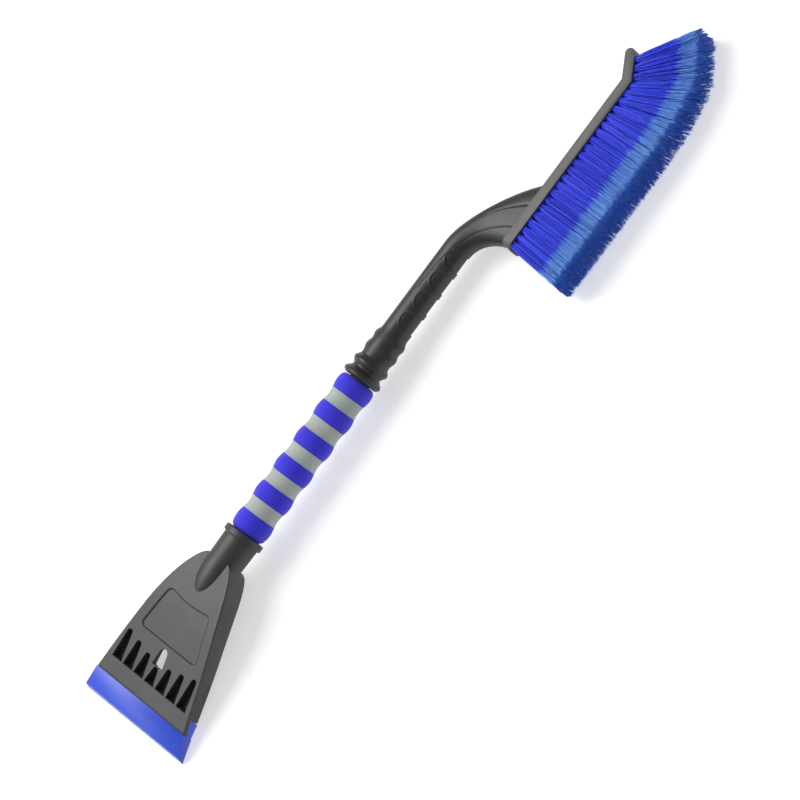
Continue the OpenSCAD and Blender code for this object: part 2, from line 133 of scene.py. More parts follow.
def grid_faces(rows, cols, start=0, closed=True, flip=False):
    """Quads between rows of points; closed joins each row's last point to its first."""
    r, c = np.meshgrid(np.arange(rows - 1), np.arange(cols if closed else cols - 1), indexing="ij")
    nxt = (c + 1) % cols
    quads = np.stack([r * cols + c, r * cols + nxt, (r + 1) * cols + nxt, (r + 1) * cols + c], -1)
    quads = quads.reshape(-1, 4) + start
    return (quads[:, ::-1] if flip else quads).tolist()


def revolve(name, profile, segments=96, sharp_deg=38):
    """Revolves a closed profile of (x, radius) points about the handle's axis."""
    profile = np.asarray(profile, float)
    turn = full_turn(segments)
    x = np.repeat(profile[:, :1], segments, 1)
    y = profile[:, 1:] * np.cos(turn)
    z = profile[:, 1:] * np.sin(turn)
    points = np.stack([x, y, z], -1).reshape(-1, 3)
    faces = grid_faces(len(profile), segments)
    last = (len(profile) - 1) * segments
    for k in range(segments):
        n = (k + 1) % segments
        faces.append([last + k, last + n, n, k])
    return fix_normals(add_mesh(name, points, faces, sharp_deg))


def fix_normals(ob):
    """Drops faces without area and turns every closed shell of a mesh to face outwards."""
    bm = bmesh.new()
    bm.from_mesh(ob.data)
    bmesh.ops.remove_doubles(bm, verts=bm.verts, dist=1e-7)
    bmesh.ops.dissolve_degenerate(bm, edges=bm.edges, dist=1e-7)
    bmesh.ops.recalc_face_normals(bm, faces=bm.faces)
    bm.to_mesh(ob.data)
    bm.free()
    return ob


def apply_modifiers(ob, sharp_deg=38):
    """Replaces the mesh by its modified one."""
    graph = bpy.context.evaluated_depsgraph_get()
    mesh = bpy.data.meshes.new_from_object(ob.evaluated_get(graph))
    ob.modifiers.clear()
    ob.data = mesh
    shade(ob, sharp_deg)
    return ob


def boolean(ob, other, operation, sharp_deg=38):
    """Joins, cuts or intersects ob with another closed mesh, which is then removed."""
    mod = ob.modifiers.new(operation, "BOOLEAN")
    mod.operation = operation
    mod.solver = "MANIFOLD"
    mod.object = other
    apply_modifiers(ob, sharp_deg)
    bpy.data.objects.remove(other)
    return ob


def bevel(ob, width, segments=3, angle_deg=30):
    """Rounds every edge over angle_deg."""
    mod = ob.modifiers.new("bevel", "BEVEL")
    mod.width = width * MM
    mod.segments = segments
    mod.limit_method = "ANGLE"
    mod.angle_limit = math.radians(angle_deg)
    mod.harden_normals = True
    return apply_modifiers(ob)


def loft(name, rings, sharp_deg=38):
    """A closed skin over rings of equally many points, capped at both ends."""
    rings = np.asarray(rings, float)
    rows, cols = rings.shape[:2]
    last = (rows - 1) * cols
    faces = grid_faces(rows, cols)
    faces += [list(range(cols)), list(range(last + cols - 1, last - 1, -1))]
    return fix_normals(add_mesh(name, rings.reshape(-1, 3), faces, sharp_deg))


def prism(name, outline, low, high, axis=2):
    """Extrudes an outline between two heights along an axis (1 for Y, 2 for Z)."""
    outline = np.asarray(outline, float)
    return loft(name, [np.insert(outline, axis, level, 1) for level in (low, high)])


def rod(name, centre, direction, radius, length, segments=64):
    """A closed cylinder from centre along direction."""
    turn = full_turn(segments)
    axis = Vector(direction).normalized()
    side = axis.orthogonal().normalized()
    other = axis.cross(side)
    circle = radius * (np.outer(np.cos(turn), side) + np.outer(np.sin(turn), other))
    start = np.asarray(centre, float) + circle
    return loft(name, [start, start + np.asarray(axis) * length])


def finish_piece(ob, material, body, slot, *nodes):
    """Material, body and the CAD nodes that a piece stands for; slot is not used."""
    ob.data.materials.clear()
    ob.data.materials.append(material)
    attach(ob, body)
    if nodes:
        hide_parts(*nodes)
    return ob


# ---------------------------------------------------------------- materials


def srgb(hex_code):
    """Linear colour from an sRGB hex code."""
    parts = [int(hex_code[i:i + 2], 16) / 255 for i in (0, 2, 4)]
    return [p / 12.92 if p <= 0.04045 else ((p + 0.055) / 1.055) ** 2.4 for p in parts] + [1]


class Nodes:
    """Short calls for building a node tree around one Principled shader."""

    def __init__(self, name):
        self.material = bpy.data.materials.new(name)
        self.material.use_nodes = True
        self.tree = self.material.node_tree
        self.shader = self.tree.nodes["Principled BSDF"]
        self.coords = self.tree.nodes.new("ShaderNodeTexCoord").outputs["Object"]

    def set(self, **values):
        for key, value in values.items():
            self.shader.inputs[key.replace("_", " ")].default_value = value

    def link(self, a, b):
        self.tree.links.new(a, b)

    def noise(self, scale, detail=3, roughness=0.5, stretch=None):
        """A noise texture; scale is in features per metre."""
        node = self.tree.nodes.new("ShaderNodeTexNoise")
        node.inputs["Scale"].default_value = scale
        node.inputs["Detail"].default_value = detail
        node.inputs["Roughness"].default_value = roughness
        self.link(self.stretched(stretch) if stretch else self.coords, node.inputs["Vector"])
        return node.outputs["Fac"]

    def stretched(self, factors):
        """Object coordinates scaled by a factor along each axis."""
        node = self.tree.nodes.new("ShaderNodeMapping")
        node.inputs["Scale"].default_value = factors
        self.link(self.coords, node.inputs["Vector"])
        return node.outputs["Vector"]

    def cells(self, scale):
        """Distance to the nearest cell centre, for pores."""
        node = self.tree.nodes.new("ShaderNodeTexVoronoi")
        node.inputs["Scale"].default_value = scale
        self.link(self.coords, node.inputs["Vector"])
        return node.outputs["Distance"]

    def ramp(self, source, stops):
        """Colours along a value; stops are (place, colour)."""
        node = self.tree.nodes.new("ShaderNodeValToRGB")
        self.link(source, node.inputs["Fac"])
        items = node.color_ramp.elements
        items[0].position, items[0].color = stops[0]
        items[1].position, items[1].color = stops[-1]
        for place, colour in stops[1:-1]:
            items.new(place).color = colour
        return node.outputs["Color"]

    def spread(self, source, low, high):
        """Maps 0..1 to low..high."""
        node = self.tree.nodes.new("ShaderNodeMapRange")
        node.inputs["To Min"].default_value = low
        node.inputs["To Max"].default_value = high
        self.link(source, node.inputs["Value"])
        return node.outputs["Result"]

    def multiply(self, factor, base, shade):
        """Darkens one colour by another, by a constant factor."""
        node = self.tree.nodes.new("ShaderNodeMix")
        node.data_type = "RGBA"
        node.blend_type = "MULTIPLY"
        node.inputs["Factor"].default_value = factor
        self.link(base, node.inputs[6])
        self.link(shade, node.inputs[7])
        return node.outputs[2]

    def bump(self, height, strength, distance_mm):
        node = self.tree.nodes.new("ShaderNodeBump")
        node.inputs["Strength"].default_value = strength
        node.inputs["Distance"].default_value = distance_mm * MM
        self.link(height, node.inputs["Height"])
        self.link(node.outputs["Normal"], self.shader.inputs["Normal"])

    def colour(self, output):
        self.link(output, self.shader.inputs["Base Color"])

    def roughness(self, output):
        self.link(output, self.shader.inputs["Roughness"])


def moulded_plastic(name, dark, light, rough_low, rough_high, grain=2600, grain_depth=0.03):
    """Moulded plastic: slow colour variation, fine spark-eroded grain, uneven gloss."""
    n = Nodes(name)
    cloud = n.noise(28, 4, 0.6)
    n.colour(n.ramp(cloud, [(0.3, srgb(dark)), (0.7, srgb(light))]))
    n.roughness(n.spread(n.noise(90, 5, 0.65), rough_low, rough_high))
    n.bump(n.noise(grain, 2, 0.6), 0.35, grain_depth)
    n.set(Specular_IOR_Level=0.5)
    return n.material


def blade_plastic():
    """Blue blade plastic with faint flow lines from the moulding gate."""
    n = Nodes("blade_plastic")
    streaks = n.noise(60, 4, 0.55, stretch=(0.5, 2, 1))
    n.colour(n.ramp(streaks, [(0.25, srgb("2a4ac8")), (0.75, srgb("3050d0"))]))
    n.roughness(n.spread(n.noise(140, 5, 0.7, stretch=(3, 0.6, 1)), 0.3, 0.4))
    n.bump(n.noise(700, 3, 0.5, stretch=(1, 0.3, 1)), 0.15, 0.03)
    n.set(Subsurface_Weight=0.12, Subsurface_Radius=(0.2, 0.3, 1.0), Subsurface_Scale=0.002)
    return n.material


def foam(name, dark, light):
    """Closed-cell foam: a matte skin with fine pores and slow colour variation."""
    n = Nodes(name)
    cloud = n.noise(60, 4, 0.6)
    pores = n.cells(1500)
    base = n.ramp(cloud, [(0.3, srgb(dark)), (0.7, srgb(light))])
    shade_of_pores = n.ramp(pores, [(0.0, (0.62, 0.62, 0.62, 1)), (0.3, (1, 1, 1, 1))])
    n.colour(n.multiply(0.5, base, shade_of_pores))
    n.roughness(n.spread(cloud, 0.72, 0.9))
    n.bump(pores, 0.5, 0.12)
    n.set(Sheen_Weight=0.2, Sheen_Roughness=0.5)
    return n.material


def bristles(name):
    """Filament plastic: blue from the root, pale along the last third, with painted shade at the
    roots between the tufts and at the cut ends.
    The UV's second coordinate runs along each filament from 0 to 1; the first is its tone, partly
    random and partly painted shade in the gaps between the locks."""
    n = Nodes(name)
    uv = n.tree.nodes.new("ShaderNodeSeparateXYZ")
    source = n.tree.nodes.new("ShaderNodeUVMap")
    source.uv_map = "along"
    n.link(source.outputs["UV"], uv.inputs["Vector"])
    strand, along = uv.outputs["X"], uv.outputs["Y"]
    shift = n.tree.nodes.new("ShaderNodeMath")
    shift.operation = "MULTIPLY_ADD"
    n.link(strand, shift.inputs[0])
    shift.inputs[1].default_value = 0.09
    n.link(along, shift.inputs[2])
    # Painted shade: the first stop darkens the roots between the tufts, and the last stop darkens
    # the cut ends
    base = n.ramp(shift.outputs["Value"], [
        (0.0, srgb("1a22c0")), (0.08, srgb("3446ff")), (0.70, srgb("3048ff")),
        (0.75, srgb("62a0ff")), (0.97, srgb("7cb4ff")), (1.0, srgb("3c78e8"))])
    tone_and_gap_shade = n.ramp(strand, [(0.0, (0.25, 0.3, 0.42, 1)), (0.3, (0.8, 0.84, 0.9, 1)),
                           (1.0, (1, 1, 1, 1))])
    n.colour(n.multiply(1, base, tone_and_gap_shade))
    n.roughness(n.spread(strand, 0.3, 0.5))
    return n.material


def metal(name, colour, rough_low, rough_high, stretch):
    """Drawn or plated metal with fine lines one way."""
    n = Nodes(name)
    lines = n.noise(1400, 3, 0.6, stretch=stretch)
    n.colour(n.ramp(lines, [(0.3, srgb(colour[0])), (0.7, srgb(colour[1]))]))
    n.roughness(n.spread(lines, rough_low, rough_high))
    n.bump(lines, 0.1, 0.01)
    n.set(Metallic=1.0)
    return n.material


HEAD_PLASTIC = moulded_plastic("head_plastic", "2e2e2e", "343434", 0.42, 0.52)
NECK_PLASTIC = moulded_plastic("handle_plastic", "242424", "2a2a2a", 0.36, 0.46)
BLOCK_PLASTIC = moulded_plastic("block_plastic", "565654", "5e5e5c", 0.46, 0.56)
BLADE_PLASTIC = blade_plastic()
FOAM_BLUE = foam("foam_blue", "2a22cc", "322ad8")
FOAM_GREY = foam("foam_grey", "9fa6a2", "abb2ae")
BRISTLE = bristles("bristle")
TUBE_METAL = metal("tube_metal", ("b4b6ba", "c6c8cc"), 0.25, 0.4, (0.05, 1, 1))
SCREW_STEEL = metal("screw_steel", ("9a9a9c", "b6b6b8"), 0.25, 0.4, (1, 1, 1))

# ---------------------------------------------------------------- foam grip

FOAM_PITCH = 25.7
FOAM_RADIUS = 14.7
FOAM_WAVE = 0.9
FOAM_END_ROUND = 3.6
SEAM_ROUND = 0.45
FOAM_STEPS = 48
FOAM_SEGMENTS = 128


def foam_radius(x):
    """Wave with its valleys in the grey rings, rounded at both ends of the grip."""
    dip = edge_rounding(np.minimum(FOAM_X_BRUSH - x, x - FOAM_X_HEAD), FOAM_END_ROUND)
    return FOAM_RADIUS - FOAM_WAVE * np.cos(2 * np.pi * x / FOAM_PITCH) - dip


def foam_ring(node, material):
    """One ring, between the ends of its CAD node, with softly rounded seam edges."""
    low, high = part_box(node)
    x0, x1 = from_row(low.x, 0), from_row(high.x, 0)
    x = np.linspace(x0, x1, FOAM_STEPS)
    seam = edge_rounding(np.minimum(x - x0, x1 - x), SEAM_ROUND)
    outer = np.stack([x, foam_radius(x) - seam], 1)
    inner = [[x1, TUBE_RADIUS], [x0, TUBE_RADIUS]]
    name = node.replace("foam", "foam_ring")
    ob = revolve(name, np.concatenate([outer, inner]), FOAM_SEGMENTS)
    finish_piece(ob, material, BODY_SCRAPER, node[:-2], node)
    return ob


for i in range(1, 7):
    foam_ring(f"foam_blue_{i}", FOAM_BLUE)
for i in range(1, 6):
    foam_ring(f"foam_grey_{i}", FOAM_GREY)

# ---------------------------------------------------------------- scraper head

COLLAR_RADIUS = 16.9
COLLAR_LENGTH = 5.5
COLLAR_EDGE = 0.9
COLLAR_FILLET = 0.6
# A revolved profile keeps this far from its axis
AXIS_GAP = 0.01
NOSE_STEPS = 40
COLLAR_STEPS = 6
NECK_SEGMENTS = 128
NECK_LENGTH = 20.3
NECK_RADIUS = 14.5
NECK_RADIUS_COLLAR = 15
NOSE_LENGTH = 32
NECK_X = FOAM_X_HEAD - COLLAR_LENGTH
TRAY_X = NECK_X - NECK_LENGTH
NOSE_X = TRAY_X - 4
SOCKET_X = TRAY_X - 12

HEAD_LENGTH = 125
HEAD_HALF_TOP = 10
HEAD_HALF_END = 52.4
HEAD_TAPER = 0.55
HEAD_BEND = math.radians(16.5)
HEAD_BEND_RADIUS = 210
HEAD_DEPTH_TOP = 24
HEAD_DEPTH_END = 13.5
HEAD_WALL = 2.8
FACE_RISE = 10.2
FACE_PLATE = 4.4
STRIP_THICK = 3.2
TRAY_END = HEAD_LENGTH - 12
TRAY_FOOT = 3
HOLLOW_START = 14
HOLLOW_END = TRAY_END - TRAY_FOOT
HOLLOW_SLOPE = 0.8
FACE_EDGE = 1.2
FACE_END_EDGE = 0.5
RIM_EDGE = 0.6
RIB_Y = 14
RIB_THICK = 2
RIB_SINK = 0.3
BEND_END = HEAD_BEND_RADIUS * math.sin(HEAD_BEND)
BEND_DROP = HEAD_BEND_RADIUS * (1 - math.cos(HEAD_BEND))

POCKET_COUNT = 7
POCKET_PITCH = 12.8
POCKET_WIDTH = 10.4
POCKET_TOP_WIDTH = 5
POCKET_DEPTH = 7.4
POCKET_FLOOR = 1.6
POCKET_HEIGHT_LOW = 16.5
POCKET_HEIGHT_STEP = 3.2
POCKET_EDGE = 0.35
POCKET_TOP_STEPS = 17
POCKET_FOOT = HEAD_LENGTH - 14
POCKET_ZONE = HEAD_LENGTH - 45
SLOT_TOP = HEAD_LENGTH - 43.5
SLOT_END = HEAD_LENGTH - 28.5
SLOT_HALF_TOP = 4.3
SLOT_HALF_END = 5.9
SLOT_PLATE = 2.2
SLOT_RELIEF_HALF = 8.2
SLOT_RELIEF_TOP = SLOT_TOP - 5
SLOT_RELIEF_END = SLOT_END - 0.6
SLOT_CUT_LOW, SLOT_CUT_HIGH = -40, 20
SLOT_TOP_STEPS = 25
PANEL_TOP, PANEL_END = 40, 78
PANEL_HALF_TOP, PANEL_HALF_END = 23, 33
PANEL_DEPTH = 1.0
PANEL_CORNER = 5
PANEL_BOW = 2.8
PANEL_STEP = 1.3

# Rows of the face's grid: (first s, number of rows up to the next first s), closest where
# the panel's borders run across
FACE_ROWS = ((0, 36), (38, 38), (47, 26), (76, 14), (80, 46))
FACE_COLS = 280
HEAD_SHARP = 30


def face_z(s):
    """Front face at s below the tray's top: bends down along an arc, then runs straight."""
    arc = HEAD_BEND_RADIUS - np.sqrt(HEAD_BEND_RADIUS ** 2 - np.clip(s, 0, BEND_END) ** 2)
    line = BEND_DROP + (s - BEND_END) * math.tan(HEAD_BEND)
    return FACE_RISE - np.where(s < BEND_END, arc, line)


def back_z(s):
    """The tray's back rim: the tray gets shallower towards the blade."""
    return face_z(s) - (HEAD_DEPTH_TOP + (HEAD_DEPTH_END - HEAD_DEPTH_TOP) * s / TRAY_END)


def half_width(s):
    """The head's outline from above, a power curve."""
    return HEAD_HALF_TOP + (HEAD_HALF_END - HEAD_HALF_TOP) * (s / HEAD_LENGTH) ** HEAD_TAPER


def panel_inside(s, y):
    """How far a point lies inside the recessed panel, a bowed trapezium with round corners."""
    t = (s - PANEL_TOP) / (PANEL_END - PANEL_TOP)
    half = PANEL_HALF_TOP + (PANEL_HALF_END - PANEL_HALF_TOP) * t
    bow = PANEL_BOW * np.clip(1 - (y / PANEL_HALF_TOP) ** 2, 0, 1)
    from_top = s - PANEL_TOP - bow
    from_side = half - np.abs(y)
    from_end = PANEL_END - s
    lengthways = np.minimum(from_top, from_end)
    corner_a = PANEL_CORNER - lengthways
    corner_b = PANEL_CORNER - from_side
    in_corner = (corner_a > 0) & (corner_b > 0)
    rounded = PANEL_CORNER - np.hypot(np.maximum(corner_a, 0), np.maximum(corner_b, 0))
    return np.where(in_corner, rounded, np.minimum(lengthways, from_side))


def head_front(s, y):
    """Height of the front surface: face, panel and rounded borders."""
    border = half_width(s) - np.abs(y)
    z = face_z(s) - edge_rounding(border, FACE_EDGE)
    z = z - edge_rounding(HEAD_LENGTH - s, FACE_END_EDGE)
    return z - PANEL_DEPTH * smooth(panel_inside(s, y) / PANEL_STEP + 0.5)


def head_back(s, y):
    """Height of the back surface: the rim, the hollow and the strip's foot."""
    plate = np.where(s < POCKET_ZONE, FACE_PLATE, POCKET_DEPTH + POCKET_FLOOR)
    wall = half_width(s) - HEAD_WALL - np.abs(y)
    ends = np.minimum(s - HOLLOW_START, HOLLOW_END - s)
    hollow = smooth(np.minimum(wall, ends) / HOLLOW_SLOPE)
    z = back_z(s) + (face_z(s) - plate - back_z(s)) * hollow
    rim = half_width(s) - np.abs(y)
    z = z + edge_rounding(rim, RIM_EDGE)
    return np.where(s > TRAY_END, face_z(s) - STRIP_THICK, z)


def head_tray():
    """The tray as a front and a back surface over one grid, joined round the border."""
    ends = [first for first, number in FACE_ROWS[1:]] + [HEAD_LENGTH]
    places = [np.linspace(first, end, number, endpoint=False)
              for (first, number), end in zip(FACE_ROWS, ends)]
    places = np.append(np.concatenate(places), HEAD_LENGTH)
    rows = len(places)
    s = np.repeat(places[:, None], FACE_COLS, 1)
    y = np.linspace(-1, 1, FACE_COLS) * half_width(s)
    front = np.stack([TRAY_X - s, y, head_front(s, y)], -1).reshape(-1, 3)
    back = np.stack([TRAY_X - s, y, head_back(s, y)], -1).reshape(-1, 3)
    count = rows * FACE_COLS
    faces = grid_faces(rows, FACE_COLS, closed=False)
    faces += grid_faces(rows, FACE_COLS, start=count, closed=False, flip=True)
    top = list(range(FACE_COLS))
    end = [count - 1 - k for k in range(FACE_COLS)]
    right = [r * FACE_COLS + FACE_COLS - 1 for r in range(1, rows - 1)]
    left = [r * FACE_COLS for r in range(rows - 2, 0, -1)]
    loop = top + right + end + left
    faces += [[a, a + count, b + count, b] for a, b in zip(loop, loop[1:] + loop[:1])]
    return fix_normals(add_mesh("head", np.concatenate([front, back]), faces, HEAD_SHARP))


def head_neck():
    """Collar, neck and rounded nose, revolved about the handle's axis."""
    turn = np.linspace(0, np.pi / 2, NOSE_STEPS)
    nose = np.stack([NOSE_X - NOSE_LENGTH * np.sin(turn), NECK_RADIUS * np.cos(turn)], 1)
    turn = np.linspace(0, np.pi / 2, COLLAR_STEPS)
    rise, fall = COLLAR_EDGE * (np.sin(turn) - 1), COLLAR_EDGE * (np.cos(turn) - 1)
    upper = np.stack([FOAM_X_HEAD + fall, COLLAR_RADIUS + rise], 1)
    lower = np.stack([NECK_X - rise, COLLAR_RADIUS + fall], 1)
    root = [[NECK_X, NECK_RADIUS_COLLAR + COLLAR_FILLET],
            [NECK_X - COLLAR_FILLET, NECK_RADIUS_COLLAR]]
    profile = np.concatenate([[[FOAM_X_HEAD, AXIS_GAP]], upper, lower, root, nose])
    profile[-1, 1] = AXIS_GAP
    return revolve("neck", profile, NECK_SEGMENTS)


def side_outline(s0, s1, top, bottom, steps=30):
    """An outline in the X-Z plane between two curves of s."""
    s = np.linspace(s0, s1, steps)
    upper, lower = np.stack([TRAY_X - s, top(s)], 1), np.stack([TRAY_X - s, bottom(s)], 1)
    return np.concatenate([upper, lower[::-1]])


def rib(side):
    """A stiffening rib along the hollow, let into the plate and a little below the rim."""
    outline = side_outline(HOLLOW_START - PAST, HOLLOW_END + PAST,
                           lambda s: face_z(s) - FACE_PLATE / 2, lambda s: back_z(s) + RIB_SINK)
    low = side * RIB_Y - RIB_THICK / 2
    return prism("rib", outline, low, low + RIB_THICK, axis=1)


def slot_relief():
    """Thins the plate behind the slot, so that a hook fits."""
    outline = side_outline(SLOT_RELIEF_TOP, SLOT_RELIEF_END, lambda s: face_z(s) - SLOT_PLATE,
                           lambda s: face_z(s) - 3 * HEAD_DEPTH_TOP)
    return prism("relief", outline, -SLOT_RELIEF_HALF, SLOT_RELIEF_HALF, axis=1)


def pocket_outline(height, grow):
    """A finger that narrows to a round top, as (up the face, across), from its foot."""
    turn = np.linspace(np.pi / 2, -np.pi / 2, POCKET_TOP_STEPS)
    top, foot = POCKET_TOP_WIDTH / 2 + grow, POCKET_WIDTH / 2 + grow
    cap = height - POCKET_TOP_WIDTH / 2
    arc = np.stack([cap + top * np.cos(turn), top * np.sin(turn)], 1)
    return np.concatenate([[[-grow, -foot], [-grow, foot]], arc])


def pocket_cutter(i):
    """One pocket, square to the face, with a rounded floor and a broken edge at its mouth."""
    from_middle = i - (POCKET_COUNT - 1) / 2
    height = POCKET_HEIGHT_LOW + POCKET_HEIGHT_STEP * abs(from_middle)
    if from_middle == 0:
        height = POCKET_FOOT - SLOT_END
    levels = ((-POCKET_DEPTH, -2 * POCKET_EDGE), (-POCKET_DEPTH + POCKET_EDGE, -POCKET_EDGE),
              (-POCKET_DEPTH + 3 * POCKET_EDGE, 0), (-POCKET_EDGE, 0),
              (POCKET_EDGE, 2 * POCKET_EDGE))
    foot_z = float(face_z(POCKET_FOOT))
    rings = []
    for level, grow in levels:
        up, across = pocket_outline(height, grow).T
        x = TRAY_X - POCKET_FOOT + up * math.cos(HEAD_BEND) - level * math.sin(HEAD_BEND)
        z = foot_z + up * math.sin(HEAD_BEND) + level * math.cos(HEAD_BEND)
        rings.append(np.stack([x, across + from_middle * POCKET_PITCH, z], 1))
    return loft("pocket", rings)


def slot_cutter():
    """The hanging slot, right through the head: round at its top, wider at its foot."""
    turn = np.linspace(-np.pi / 2, np.pi / 2, SLOT_TOP_STEPS)
    x = TRAY_X - SLOT_TOP - SLOT_HALF_TOP
    arc = np.stack([x + SLOT_HALF_TOP * np.cos(turn), SLOT_HALF_TOP * np.sin(turn)], 1)
    foot = [[TRAY_X - SLOT_END, SLOT_HALF_END], [TRAY_X - SLOT_END, -SLOT_HALF_END]]
    return prism("slot", np.concatenate([arc, foot]), SLOT_CUT_LOW, SLOT_CUT_HIGH)


SCREW_X = NECK_X - 12
SCREW_RADIUS = 1.5
SCREW_SEAT = 12.5
SCREW_SEAT_RADIUS = 3.6
# These cutters run on well past the head
BORE_LENGTH, SHANK_LENGTH, SEAT_LENGTH = 60, 30, 10
BORE_SEGMENTS = 96
POST_RADIUS = 2.3
POST_SINK = 1
POST_PROUD = 0.4
POST_SEGMENTS = 32
POST_S = HEAD_LENGTH - 6
POST_PLACES = (-39, -13, 13, 39)


def blade_post(y):
    """One of the pegs under the front strip that hold the blade's tongue."""
    top = float(face_z(POST_S)) - STRIP_THICK + POST_SINK
    length = top - float(back_z(TRAY_END)) + POST_PROUD
    return rod("post", (TRAY_X - POST_S, y, top), DOWN, POST_RADIUS, length, POST_SEGMENTS)


def scraper_head():
    """The tray with its ribs and neck, then what is cut from it, then the blade's posts."""
    cutters = [
        rod("bore", (SOCKET_X, 0, 0), ALONG, TUBE_RADIUS, BORE_LENGTH, BORE_SEGMENTS),
        slot_relief(), slot_cutter(), *map(pocket_cutter, range(POCKET_COUNT)),
        rod("shank", (SCREW_X, 0, 0), DOWN, SCREW_RADIUS, SHANK_LENGTH),
        rod("seat", (SCREW_X, 0, -SCREW_SEAT), DOWN, SCREW_SEAT_RADIUS, SEAT_LENGTH)]
    head = head_tray()
    for piece in (rib(-1), rib(1), head_neck()):
        boolean(head, piece, "UNION", HEAD_SHARP)
    for cutter in cutters:
        boolean(head, cutter, "DIFFERENCE", HEAD_SHARP)
    for post in map(blade_post, POST_PLACES):
        boolean(head, post, "UNION", HEAD_SHARP)
    fix_normals(head)
    head.name = "scraper_head_moulding"
    return finish_piece(head, HEAD_PLASTIC, BODY_SCRAPER, "head_plastic", "scraper_head")


scraper_head()

# ---------------------------------------------------------------- blade

BLADE_STEP = 0.8
BLADE_FRONT_LENGTH = 17
BLADE_NOSE = 7.6
BLADE_GAP = 0.05
# The blade's front face starts this far below the head's
BLADE_BELOW_FACE = 0.25
BLADE_EDGE_ROUND = 0.45
POST_CLEARANCE = 0.1


def scraper_blade():
    """Wedge with a blunt nose; its tongue lies behind the head's front strip."""
    strip = float(face_z(HEAD_LENGTH))
    tongue = float(face_z(TRAY_END))
    back = float(back_z(TRAY_END))
    edge_s = TRAY_X - BLADE_EDGE_X
    under_strip = STRIP_THICK + BLADE_GAP
    profile = [
        (TRAY_END + BLADE_GAP, tongue - under_strip),
        (HEAD_LENGTH + BLADE_GAP, strip - under_strip),
        (HEAD_LENGTH + BLADE_GAP, strip - BLADE_BELOW_FACE),
        (HEAD_LENGTH + BLADE_FRONT_LENGTH, BLADE_EDGE_Z + BLADE_NOSE),
        (edge_s, BLADE_EDGE_Z),
        (HEAD_LENGTH, back - 2 * BLADE_STEP),
        (HEAD_LENGTH, back - BLADE_STEP),
        (TRAY_END + BLADE_GAP, back)]
    rings = []
    for side in (-1, 1):
        ring = []
        for s, z in profile:
            t = (s - TRAY_END) / (edge_s - TRAY_END)
            half = half_width(TRAY_END) + (BLADE_HALF_EDGE - half_width(TRAY_END)) * t
            ring.append((TRAY_X - s, side * half, z))
        rings.append(ring)
    blade = loft("blade_moulding", rings)
    for y in POST_PLACES:
        hole = rod("hole", (TRAY_X - POST_S, y, 0), DOWN, POST_RADIUS + POST_CLEARANCE,
                   -2 * BLADE_EDGE_Z, POST_SEGMENTS)
        boolean(blade, hole, "DIFFERENCE")
    bevel(blade, BLADE_EDGE_ROUND)
    return finish_piece(blade, BLADE_PLASTIC, BODY_SCRAPER, "blade_plastic", "scraper_blade")


scraper_blade()

# ---------------------------------------------------------------- brush handle

SHAFT_RADIUS = 11.5
SHAFT_END_X = FOAM_X_BRUSH + 127
GRIP_BASE = 12.5
RINGS = ((3.4, 4.1, 6), (14.4, 2.8, 5.6))
SIDE_SWELLINGS = ((27.4, 2.2, 6.6), (38.8, 2.2, 6.2))
GRIP_TAPER = (33, 47)
SCALLOP_COUNT = 4
SCALLOP_FIRST = 58.8
SCALLOP_PITCH = 19.6
SCALLOP_HALF = 7.3
SCALLOP_REACH = 14.8
SCALLOP_DEPTH = 0.8
SCALLOP_SLOPE = 0.6
# The groove and the lip round a scallop: height, place inside its border and half width
SCALLOP_LINES = ((-0.4, 0.2, 0.45), (0.2, -1, 0.6))
FLANGE_EDGE = 1
NECK_START_X = SHAFT_END_X - 2
NECK_HALF_THICK = 10
BLOCK_OFFSET = 35.8
NECK_ROUND = 0.72
SOCKET_RADIUS = 9.0
SOCKET_DEPTH = 72
KEYWAY_LOW, KEYWAY_HIGH = 7.95, 10.35
KEYWAY_HALF = 1.65
HANDLE_COLS = 208
# Rows of the skin: over the rings and swellings, over the rest of the shaft, over the neck
RINGED_END, PLAIN_START = 48, 48.5
RINGED_ROWS, PLAIN_ROWS, NECK_ROWS = 80, 170, 130
# The neck's length as the terraces count it
NECK_SPAN = 75

INNER_CURVE = np.array([[NECK_START_X, -SHAFT_RADIUS], [SHAFT_END_X + 7, -SHAFT_RADIUS],
                        [SHAFT_END_X + 18, -20], [SHAFT_END_X + 22, -BLOCK_OFFSET]])
OUTER_CURVE = np.array([[NECK_START_X, SHAFT_RADIUS], [SHAFT_END_X + 23, SHAFT_RADIUS],
                        [SHAFT_END_X + 63, -14], [SHAFT_END_X + 81, -BLOCK_OFFSET]])


def swell(d, centre, height, half):
    """A rounded swelling of a height about a centre, gone at half on either side."""
    bump = height * (1 + np.cos(np.pi * (d - centre) / half)) / 2
    return np.where(np.abs(d - centre) < half, bump, 0)


def grip_radius(d, turn):
    """Radius at distance d from the joint: two full rings, then swellings at the two sides
    that fade out on the upper and the lower side, on a tapering shaft."""
    taper = smooth((d - GRIP_TAPER[0]) / (GRIP_TAPER[1] - GRIP_TAPER[0]))
    radius = GRIP_BASE + (SHAFT_RADIUS - GRIP_BASE) * taper
    rings = np.maximum(*(swell(d, *ring) for ring in RINGS))
    sides = np.maximum(*(swell(d, *side) for side in SIDE_SWELLINGS)) * np.abs(np.cos(turn)) ** 3
    return radius + np.maximum(rings, sides)


def bezier(p, t):
    """Points on a cubic curve given by four control points."""
    t = np.asarray(t)[:, None]
    return (p[0] * (1 - t) ** 3 + 3 * p[1] * t * (1 - t) ** 2
            + 3 * p[2] * t ** 2 * (1 - t) + p[3] * t ** 3)


def power(v, e):
    """A signed power, which squares up a circle's cosine and sine."""
    return np.sign(v) * np.abs(v) ** e


